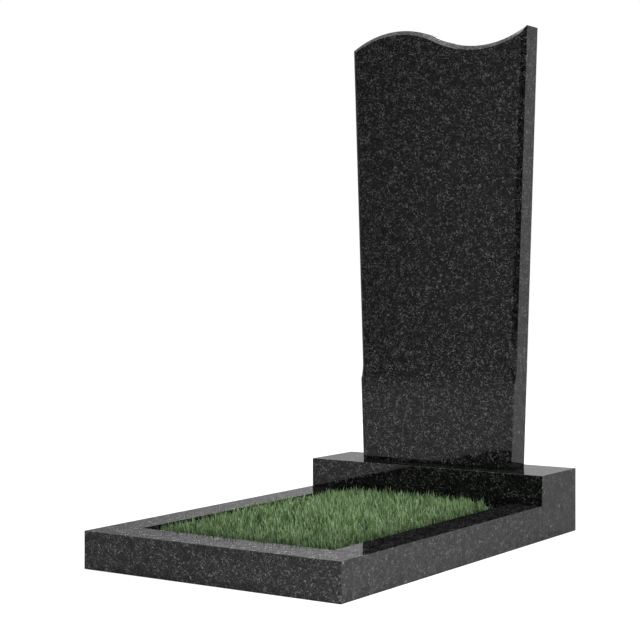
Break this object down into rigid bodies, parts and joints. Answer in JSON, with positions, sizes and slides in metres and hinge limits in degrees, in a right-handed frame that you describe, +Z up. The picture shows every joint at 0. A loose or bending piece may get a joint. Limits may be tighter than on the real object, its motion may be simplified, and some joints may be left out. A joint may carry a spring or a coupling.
{
  "type": "headstone",
  "caption": "Polished black granite headstone: a stele that widens to a wave-cut top, on a low plinth, with a kerb round a turfed grave bed in front.",
  "frame": {"origin": "on the ground, at the middle of the footprint", "axes": "+Z up, -Y towards the front of the grave, +X to the right of someone facing the stele"},
  "size_m": [0.6, 0.965, 1.1443],
  "materials": {
    "stele_granite": "polished",
    "plinth_granite": "polished",
    "kerb_granite": "polished",
    "grass": "matte",
    "soil": "matte"
  },
  "bodies": {
    "root": {"stele": "stele_granite", "plinth": "plinth_granite", "kerb_front": "kerb_granite", "kerb_left": "kerb_granite", "kerb_right": "kerb_granite", "turf": "grass"}
  },
  "joints": []
}
